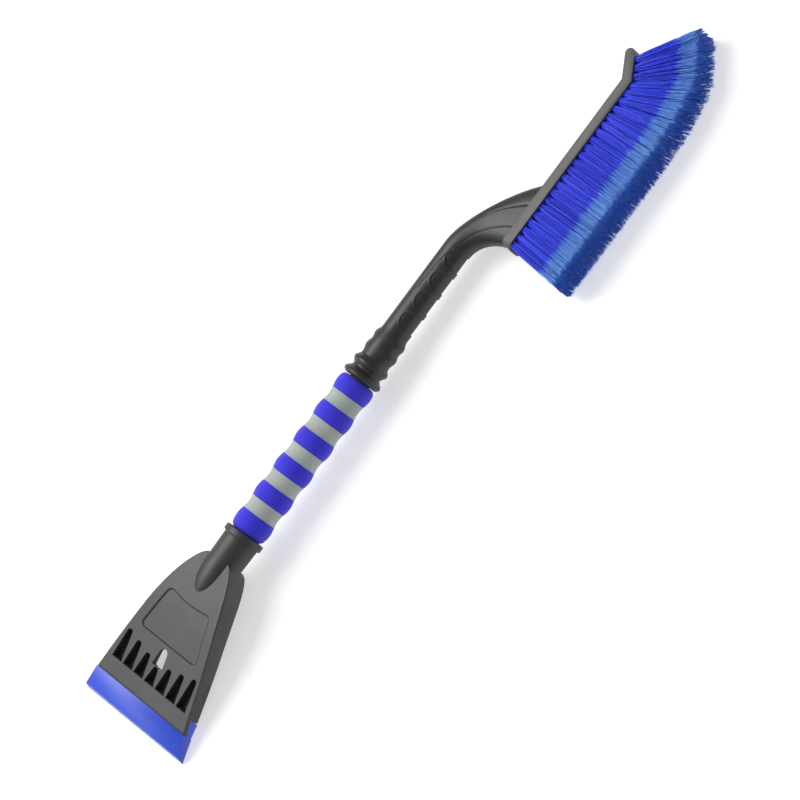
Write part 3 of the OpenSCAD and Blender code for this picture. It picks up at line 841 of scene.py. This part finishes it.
def scallop_inside(d, turn):
    """How far a point of the shaft lies inside the nearest finger scallop."""
    around = np.abs(np.angle(np.exp(1j * (turn - np.pi)))) * SHAFT_RADIUS
    best = np.full(np.broadcast(d, turn).shape, -99.0)
    for i in range(SCALLOP_COUNT):
        along = d - SCALLOP_FIRST - i * SCALLOP_PITCH
        past = np.maximum(around - (SCALLOP_REACH - SCALLOP_HALF), 0)
        best = np.maximum(best, SCALLOP_HALF - np.hypot(past, along))
    return best


# Terraces along the neck's upper and lower side: depth, then knots of
# (distance from the joint, angle where the terrace starts, angle of its crease)
TERRACES = (
    (0.75, ((82, 80, 84), (93, 58, 84), (106, 42, 87), (119, 40, 98), (140, 56, 117),
            (159, 68, 113), (200, 74, 111))),
    (0.55, ((152, 52, 64), (165, 34, 69), (178, 34, 76), (188, 36, 80), (200, 38, 82))),
)
CREASE_STEP = 4
CREASE_GROOVE = 0.35
CREASE_FADE = 12
CREASE_SHARP = 70


def terrace_depth(d, turn):
    """Each terrace sinks evenly towards its crease and then steps back up."""
    folded = np.degrees(np.abs(np.angle(np.exp(1j * turn))))
    depth = 0
    for deep, knots in TERRACES:
        place, start, crease = np.array(knots, float).T
        from_crease = folded - np.interp(d, place, crease)
        span = np.interp(d, place, crease - start)
        sink = np.where(from_crease < 0, smooth(1 + from_crease / span),
                        1 - smooth(from_crease / CREASE_STEP))
        groove = np.exp(-(from_crease / CREASE_STEP * 2) ** 2)
        fade = smooth((d - place[0]) / CREASE_FADE)
        depth = depth + fade * (deep * sink + CREASE_GROOVE * groove)
    return depth


def brush_handle():
    """Grip, finger scallops and curved neck in one skin, with the socket bored into it."""
    turn = full_turn(HANDLE_COLS)[None, :]
    shaft_end = NECK_START_X - JOINT_X
    d = np.concatenate([np.linspace(0, RINGED_END, RINGED_ROWS),
                        np.linspace(PLAIN_START, shaft_end, PLAIN_ROWS)])[:, None]
    radius = grip_radius(d, turn) - edge_rounding(d, FLANGE_EDGE) - terrace_depth(d, turn)
    inside = scallop_inside(d, turn)
    radius = radius - SCALLOP_DEPTH * smooth(inside / SCALLOP_SLOPE)
    for height, place, half in SCALLOP_LINES:
        radius = radius + height * np.exp(-((inside - place) / half) ** 2)
    shaft = np.stack([JOINT_X + d + 0 * radius, radius * np.cos(turn), radius * np.sin(turn)], -1)

    t = np.linspace(0, 1, NECK_ROWS)[1:]
    inner, outer = bezier(INNER_CURVE, t), bezier(OUTER_CURVE, t)
    middle, half = (inner + outer) / 2, (outer - inner) / 2
    half_z = NECK_HALF_THICK + np.where(
        t < 0.5, (SHAFT_RADIUS - NECK_HALF_THICK) * (1 - smooth(2 * t)),
        (BLOCK_HALF_Z - NECK_HALF_THICK) * smooth(2 * t - 1))
    e = (1 - (1 - NECK_ROUND) * t)[:, None]
    c, s = power(np.cos(turn), e), power(np.sin(turn), e)
    size = np.hypot(np.hypot(half[:, :1], half[:, 1:]) * c, half_z[:, None] * s)
    shrink = 1 - terrace_depth(shaft_end + NECK_SPAN * t[:, None], turn) / size
    c, s = c * shrink, s * shrink
    neck = np.stack([middle[:, :1] + half[:, :1] * c, middle[:, 1:] + half[:, 1:] * c,
                     half_z[:, None] * s], -1)
    handle = loft("brush_grip_and_neck", np.concatenate([shaft, neck]), CREASE_SHARP)
    mouth, end = JOINT_X - PAST, JOINT_X + SOCKET_DEPTH
    bore = rod("bore", (mouth, 0, 0), ALONG, SOCKET_RADIUS, end - mouth, BORE_SEGMENTS)
    keyway = prism("keyway", [(mouth, KEYWAY_LOW), (end, KEYWAY_LOW),
                              (end, KEYWAY_HIGH), (mouth, KEYWAY_HIGH)], -KEYWAY_HALF, KEYWAY_HALF)
    for cutter in (bore, keyway):
        boolean(handle, cutter, "DIFFERENCE", CREASE_SHARP)
    return finish_piece(handle, NECK_PLASTIC, BODY_BRUSH, "handle_plastic", "brush_handle")


brush_handle()

# ---------------------------------------------------------------- bristle block

BLOCK_X = SHAFT_END_X + 22.5
BLOCK_THICK = 8.4
BLOCK_LENGTH = 154.5
TIP_LENGTH = 25.5
TIP_ANGLE = math.radians(34)
BLOCK_BEND_X = BLOCK_X + BLOCK_LENGTH
BLOCK_FRONT = -BLOCK_OFFSET - BLOCK_THICK
FRONT_BEND_X = BLOCK_BEND_X + BLOCK_THICK * math.tan(TIP_ANGLE / 2)
BLOCK_UNDERCUT = 1.5
BLOCK_CORNER = 7
BLOCK_EDGE = 0.9
TIP_STEPS = 17
CORNER_STEPS = 12


def bristle_block():
    """The block's outline with its bent, round tip, extruded and rounded at every edge."""
    along = np.array([math.cos(TIP_ANGLE), math.sin(TIP_ANGLE)])
    across = np.array([math.sin(TIP_ANGLE), -math.cos(TIP_ANGLE)])
    back_end = np.array([BLOCK_BEND_X, -BLOCK_OFFSET]) + (TIP_LENGTH - BLOCK_THICK / 2) * along
    centre = back_end + across * BLOCK_THICK / 2
    turn = np.linspace(np.pi / 2, -np.pi / 2, TIP_STEPS)
    arc = [centre + BLOCK_THICK / 2 * (math.cos(a) * along - math.sin(a) * across) for a in turn]
    outline = [[BLOCK_X, -BLOCK_OFFSET], [BLOCK_BEND_X, -BLOCK_OFFSET], *arc,
               [FRONT_BEND_X, BLOCK_FRONT], [BLOCK_X - BLOCK_UNDERCUT, BLOCK_FRONT]]
    block = prism("bristle_bar", outline, -BLOCK_HALF_Z, BLOCK_HALF_Z)
    near, flat = BLOCK_X - BLOCK_UNDERCUT + BLOCK_CORNER, BLOCK_HALF_Z - BLOCK_CORNER
    far = BLOCK_BEND_X + 2 * TIP_LENGTH
    turn = np.linspace(np.pi / 2, np.pi, CORNER_STEPS)
    corner = [(near + BLOCK_CORNER * math.cos(a), flat + BLOCK_CORNER * math.sin(a)) for a in turn]
    back = [(far, BLOCK_HALF_Z + PAST), (near, BLOCK_HALF_Z), *corner[1:]]
    back += [(x, -z) for x, z in reversed(back)]
    ends = prism("block_ends", back, BLOCK_FRONT - PAST, 0, axis=1)
    boolean(block, ends, "INTERSECT")
    bevel(block, BLOCK_EDGE, segments=4, angle_deg=25)
    return finish_piece(block, BLOCK_PLASTIC, BODY_BRUSH, "block_plastic", "bristle_block")


bristle_block()

# ---------------------------------------------------------------- bristles

BRISTLE_LENGTH = 58
TUFT_PITCH = 7.15
ROW_PITCH = 7.2
TUFT_ROOT = 2.85
TUFTS_STRAIGHT = 22
TUFTS_TIP = 3
TUFTS = TUFTS_STRAIGHT + TUFTS_TIP
FIRST_TUFT = 4
FIRST_TIP_TUFT = 4
FAN_START = 17
FAN_ANGLE = 52
FAN_POWER = 1.2
NEAR_FAN = 6
NEAR_ANGLE = 4.7
ROW_SPLAY = 2
OUTER_HALF = 3.4
FILAMENTS = 100
FILAMENT_STEPS = 13
FILAMENT_RADIUS = 0.27
CRIMP = 0.24
LOCKS = 3
LOCK_PULL = 0.06
# How far neighbouring tufts spread into each other
NEIGHBOUR_OVERLAP = 1.08
LENGTH_SPREAD = 0.6
# Filament tone: a mean, painted shade that darkens the filaments in the gaps between the locks, and
# a random spread
TONE, LOCK_GAP_SHADE, TONE_SPREAD = 0.68, 0.2, 0.28
TIP_TAPER = 0.25
ROOT_SINK = 1.5


def tuft_foot(i):
    """Where tuft i leaves the block's front."""
    if i < TUFTS_STRAIGHT:
        return np.array([BLOCK_X + FIRST_TUFT + i * TUFT_PITCH, BLOCK_FRONT])
    d = FIRST_TIP_TUFT + (i - TUFTS_STRAIGHT) * TUFT_PITCH
    return np.array([FRONT_BEND_X + d * math.cos(TIP_ANGLE), BLOCK_FRONT + d * math.sin(TIP_ANGLE)])


def tuft_lean(i):
    """How far tuft i leans: a little outwards at the near end, much more round the tip."""
    if i < NEAR_FAN:
        return -math.radians(NEAR_ANGLE * (1 - i / NEAR_FAN) ** FAN_POWER)
    if i < FAN_START:
        return 0.0
    return math.radians(FAN_ANGLE * ((i - FAN_START + 1) / (TUFTS - FAN_START)) ** FAN_POWER)


def tuft_direction(i):
    lean = tuft_lean(i)
    return np.array([math.sin(lean), -math.cos(lean)])


def half_gap(i, j, reach):
    """Half the distance between two tufts at a distance reach from the block."""
    if not 0 <= j < TUFTS:
        return OUTER_HALF
    a = tuft_foot(i) + reach * tuft_direction(i)
    b = tuft_foot(j) + reach * tuft_direction(j)
    return np.hypot(*(a - b)) / 2


def even(x):
    """Turns the spread of a disc's points across it into an even one."""
    return (np.arcsin(x) + x * np.sqrt(1 - x * x)) * 2 / np.pi


def filament_lines(rng, i, row):
    """Centre lines of one tuft's filaments, (filaments, steps, 3), and a tone for each, partly
    random and partly painted shade that darkens the filaments in the gaps between the locks. They
    leave the block in a round bundle, then spread to fill the room between the neighbouring tufts,
    gathered into a few locks."""
    lean, splay = tuft_lean(i), math.radians(row * ROW_SPLAY)
    out = np.array([*tuft_direction(i), 0.0])
    side = np.array([math.cos(lean), math.sin(lean), 0.0])
    up = np.array([0.0, 0.0, 1.0])
    axis = out * math.cos(splay) + up * math.sin(splay)
    foot = np.array([*tuft_foot(i), row * ROW_PITCH])

    angle = rng.uniform(0, 2 * np.pi, FILAMENTS)
    reach = np.sqrt(rng.uniform(0, 1, FILAMENTS))
    a, b = reach * np.cos(angle), reach * np.sin(angle)
    even_a, even_b = even(a), even(b)
    lock_turn = 2 * np.pi * (LOCKS / 2 * even_a + 0.35 * even_b + rng.uniform(0, 1))
    # Painted shade: the cosine of the lock's turn makes the filaments between the locks darker
    tone_and_gap_shade = TONE + LOCK_GAP_SHADE * np.cos(lock_turn) + rng.normal(0, TONE_SPREAD, FILAMENTS)
    tone_and_gap_shade = np.clip(tone_and_gap_shade, 0, 1)
    t = np.linspace(0, 1, FILAMENT_STEPS)
    pull = LOCK_PULL * np.sin(lock_turn)[:, None] * (1 - 0.7 * smooth((t - 0.5) / 0.5))
    spread = 0.9 * smooth(t / 0.22) + 0.1 * t

    room_a = []
    for sign in (-1, 1):
        ends = half_gap(i, i + sign, 0), half_gap(i, i + sign, BRISTLE_LENGTH)
        room_a.append(ends[0] + (ends[1] - ends[0]) * t)
    room_a = np.where((a < 0)[:, None], room_a[0], room_a[1])
    wide_a = NEIGHBOUR_OVERLAP * room_a * (even_a[:, None] - pull)
    between = (ROW_PITCH + BRISTLE_LENGTH * math.sin(math.radians(ROW_SPLAY))) / 2
    outward = (np.sign(b) == row) & (row != 0)
    wide_b = np.where(outward, OUTER_HALF, between)[:, None] * even_b[:, None]
    off_a = TUFT_ROOT * a[:, None] * (1 - spread) + wide_a * spread
    off_b = TUFT_ROOT * b[:, None] * (1 - spread) + wide_b * spread
    crimp = CRIMP * smooth((t - 0.25) / 0.4)
    off_a = off_a + crimp * rng.normal(0, 1, (FILAMENTS, FILAMENT_STEPS))
    off_b = off_b + crimp * rng.normal(0, 1, (FILAMENTS, FILAMENT_STEPS))
    length = BRISTLE_LENGTH + rng.normal(0, LENGTH_SPREAD, FILAMENTS)
    run = -ROOT_SINK + (length[:, None] + ROOT_SINK) * t
    lines = foot + run[..., None] * axis + off_a[..., None] * side + off_b[..., None] * up
    return lines, tone_and_gap_shade


def tuft_row(row, node):
    """One row of tufts: thin three-sided filaments, pale and crimped towards their ends."""
    rng = np.random.default_rng(40 + row)
    tufts = [filament_lines(rng, i, row) for i in range(TUFTS)]
    lines = np.concatenate([tuft[0] for tuft in tufts])
    strand = np.concatenate([tuft[1] for tuft in tufts])
    count = len(lines)
    sides = 3
    tangent = np.gradient(lines, axis=1)
    tangent /= np.linalg.norm(tangent, axis=2, keepdims=True)
    ref = np.cross(tangent, [0.0, 0.0, 1.0])
    ref /= np.linalg.norm(ref, axis=2, keepdims=True)
    other = np.cross(tangent, ref)
    spin = rng.uniform(0, 2 * np.pi, count)[:, None, None]
    turn = spin + np.arange(sides) * 2 * np.pi / sides
    along = np.linspace(0, 1, FILAMENT_STEPS)
    taper = FILAMENT_RADIUS * (1 - TIP_TAPER * along)[None, :, None]
    turn = turn[..., None]
    offsets = np.cos(turn) * ref[:, :, None] + np.sin(turn) * other[:, :, None]
    points = (lines[:, :, None] + offsets * taper[..., None]).reshape(-1, 3)

    per = FILAMENT_STEPS * sides
    base = np.array(grid_faces(FILAMENT_STEPS, sides))
    quads = (base[None] + np.arange(count)[:, None, None] * per).reshape(-1, 4)
    tops = np.arange(count)[:, None] * per + per - sides + np.arange(sides)[None]
    feet = np.arange(count)[:, None] * per + np.arange(sides)[::-1][None]
    faces = quads.tolist() + tops.tolist() + feet.tolist()
    ob = add_mesh(f"bristle_{node}", points, faces, 180)

    uv_points = np.stack([np.repeat(strand, per), np.tile(np.repeat(along, sides), count)], 1)
    uv = ob.data.uv_layers.new(name="along")
    index = np.zeros(len(ob.data.loops), int)
    ob.data.loops.foreach_get("vertex_index", index)
    uv.data.foreach_set("uv", uv_points[index].ravel().astype(np.float32))
    return finish_piece(ob, BRISTLE, BODY_BRUSH, "bristle", node)


for row in (-1, 0, 1):
    tuft_row(row, f"tuft_row_{row + 2}")

# ---------------------------------------------------------------- CAD pieces that stay

for name, material in (("handle_tube", TUBE_METAL), ("joint_spigot", NECK_PLASTIC),
                       ("neck_screw", SCREW_STEEL), ("tuft_anchors", SCREW_STEEL)):
    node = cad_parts[name]
    node.data.materials.clear()
    node.data.materials.append(material)

# ---------------------------------------------------------------- floor, light and camera

VIEW_TILT = math.radians(35)
CAMERA_DISTANCE = 4500
PICTURE_WIDTH = 612.8
AIM = (79.1, 33.3)
ROLL_X, ROLL_V = 0.596, 0.803
SENSOR = 36
CLIP_END = 50
FLOOR_HALF = 6
FLOOR_GAP = 0.0002
FLOOR_GLOW = 0.55
WORLD_GLOW = 0.35


def floor():
    """A pale sheet under the tool, tilted so that the blade's edge and the brush rest on it."""
    row_low, row_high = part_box("tuft_row_1")
    slope = math.atan2(row_low.z - blade_low.z, row_high.x - blade_low.x)
    mesh = bpy.data.meshes.new("floor")
    corners = [(FLOOR_HALF * x, FLOOR_HALF * y, 0) for x, y in ((-1, -1), (1, -1), (1, 1), (-1, 1))]
    mesh.from_pydata(corners, [], [(0, 1, 2, 3)])
    ob = bpy.data.objects.new("floor", mesh)
    bpy.context.scene.collection.objects.link(ob)
    ob.matrix_world = (Matrix.Translation((blade_low.x, 0, blade_low.z - FLOOR_GAP))
                       @ Matrix.Rotation(-slope, 4, "Y"))
    n = Nodes("floor_paper")
    n.colour(n.ramp(n.noise(3, 2), [(0.3, (0.6, 0.6, 0.6, 1)), (0.7, (0.64, 0.64, 0.64, 1))]))
    n.set(Roughness=0.9, Emission_Color=(1, 1, 1, 1), Emission_Strength=FLOOR_GLOW)
    mesh.materials.append(n.material)


def area_light(name, place, size, energy, target=(0, 0, 0)):
    """A soft rectangular lamp that faces a target, in metres and watts."""
    lamp = bpy.data.lights.new(name, "AREA")
    lamp.shape = "RECTANGLE"
    lamp.size, lamp.size_y = size
    lamp.energy = energy
    ob = bpy.data.objects.new(name, lamp)
    bpy.context.scene.collection.objects.link(ob)
    ob.location = place
    ob.rotation_euler = (Vector(target) - Vector(place)).to_track_quat("-Z", "Y").to_euler()


def light():
    """An even pale room, a large soft key light and a weaker one from the scraper's side."""
    world = bpy.data.worlds.new("studio")
    world.use_nodes = True
    background = world.node_tree.nodes["Background"]
    background.inputs["Color"].default_value = (1, 1, 1, 1)
    background.inputs["Strength"].default_value = WORLD_GLOW
    bpy.context.scene.world = world
    area_light("key", (-0.6, 1.65, 2.4), (2.0, 2.0), 80)
    area_light("side", (-2.1, 1.7, 1.6), (1.2, 1.2), 12, (-0.3, 0, 0))


def camera():
    """Looks along the photograph's direction, with the handle's axis rising to the right."""
    back = Vector((0, -math.sin(VIEW_TILT), math.cos(VIEW_TILT)))
    across = Vector((0, -math.cos(VIEW_TILT), -math.sin(VIEW_TILT)))
    right = Vector((ROLL_X, 0, 0)) + ROLL_V * across
    up = Vector((ROLL_V, 0, 0)) - ROLL_X * across
    data = bpy.data.cameras.new("camera")
    data.sensor_width = SENSOR
    data.lens = SENSOR * CAMERA_DISTANCE / PICTURE_WIDTH
    data.clip_end = CLIP_END
    ob = bpy.data.objects.new("camera", data)
    bpy.context.scene.collection.objects.link(ob)
    aim = Vector(to_row(np.array([AIM[0], 0, 0]) + AIM[1] * np.array(across)))
    turn = Matrix((right.normalized(), up.normalized(), back)).transposed().to_4x4()
    ob.matrix_world = Matrix.Translation(aim + back * CAMERA_DISTANCE * MM) @ turn
    bpy.context.scene.camera = ob


floor()
light()
camera()
bpy.context.scene.view_settings.view_transform = "Standard"
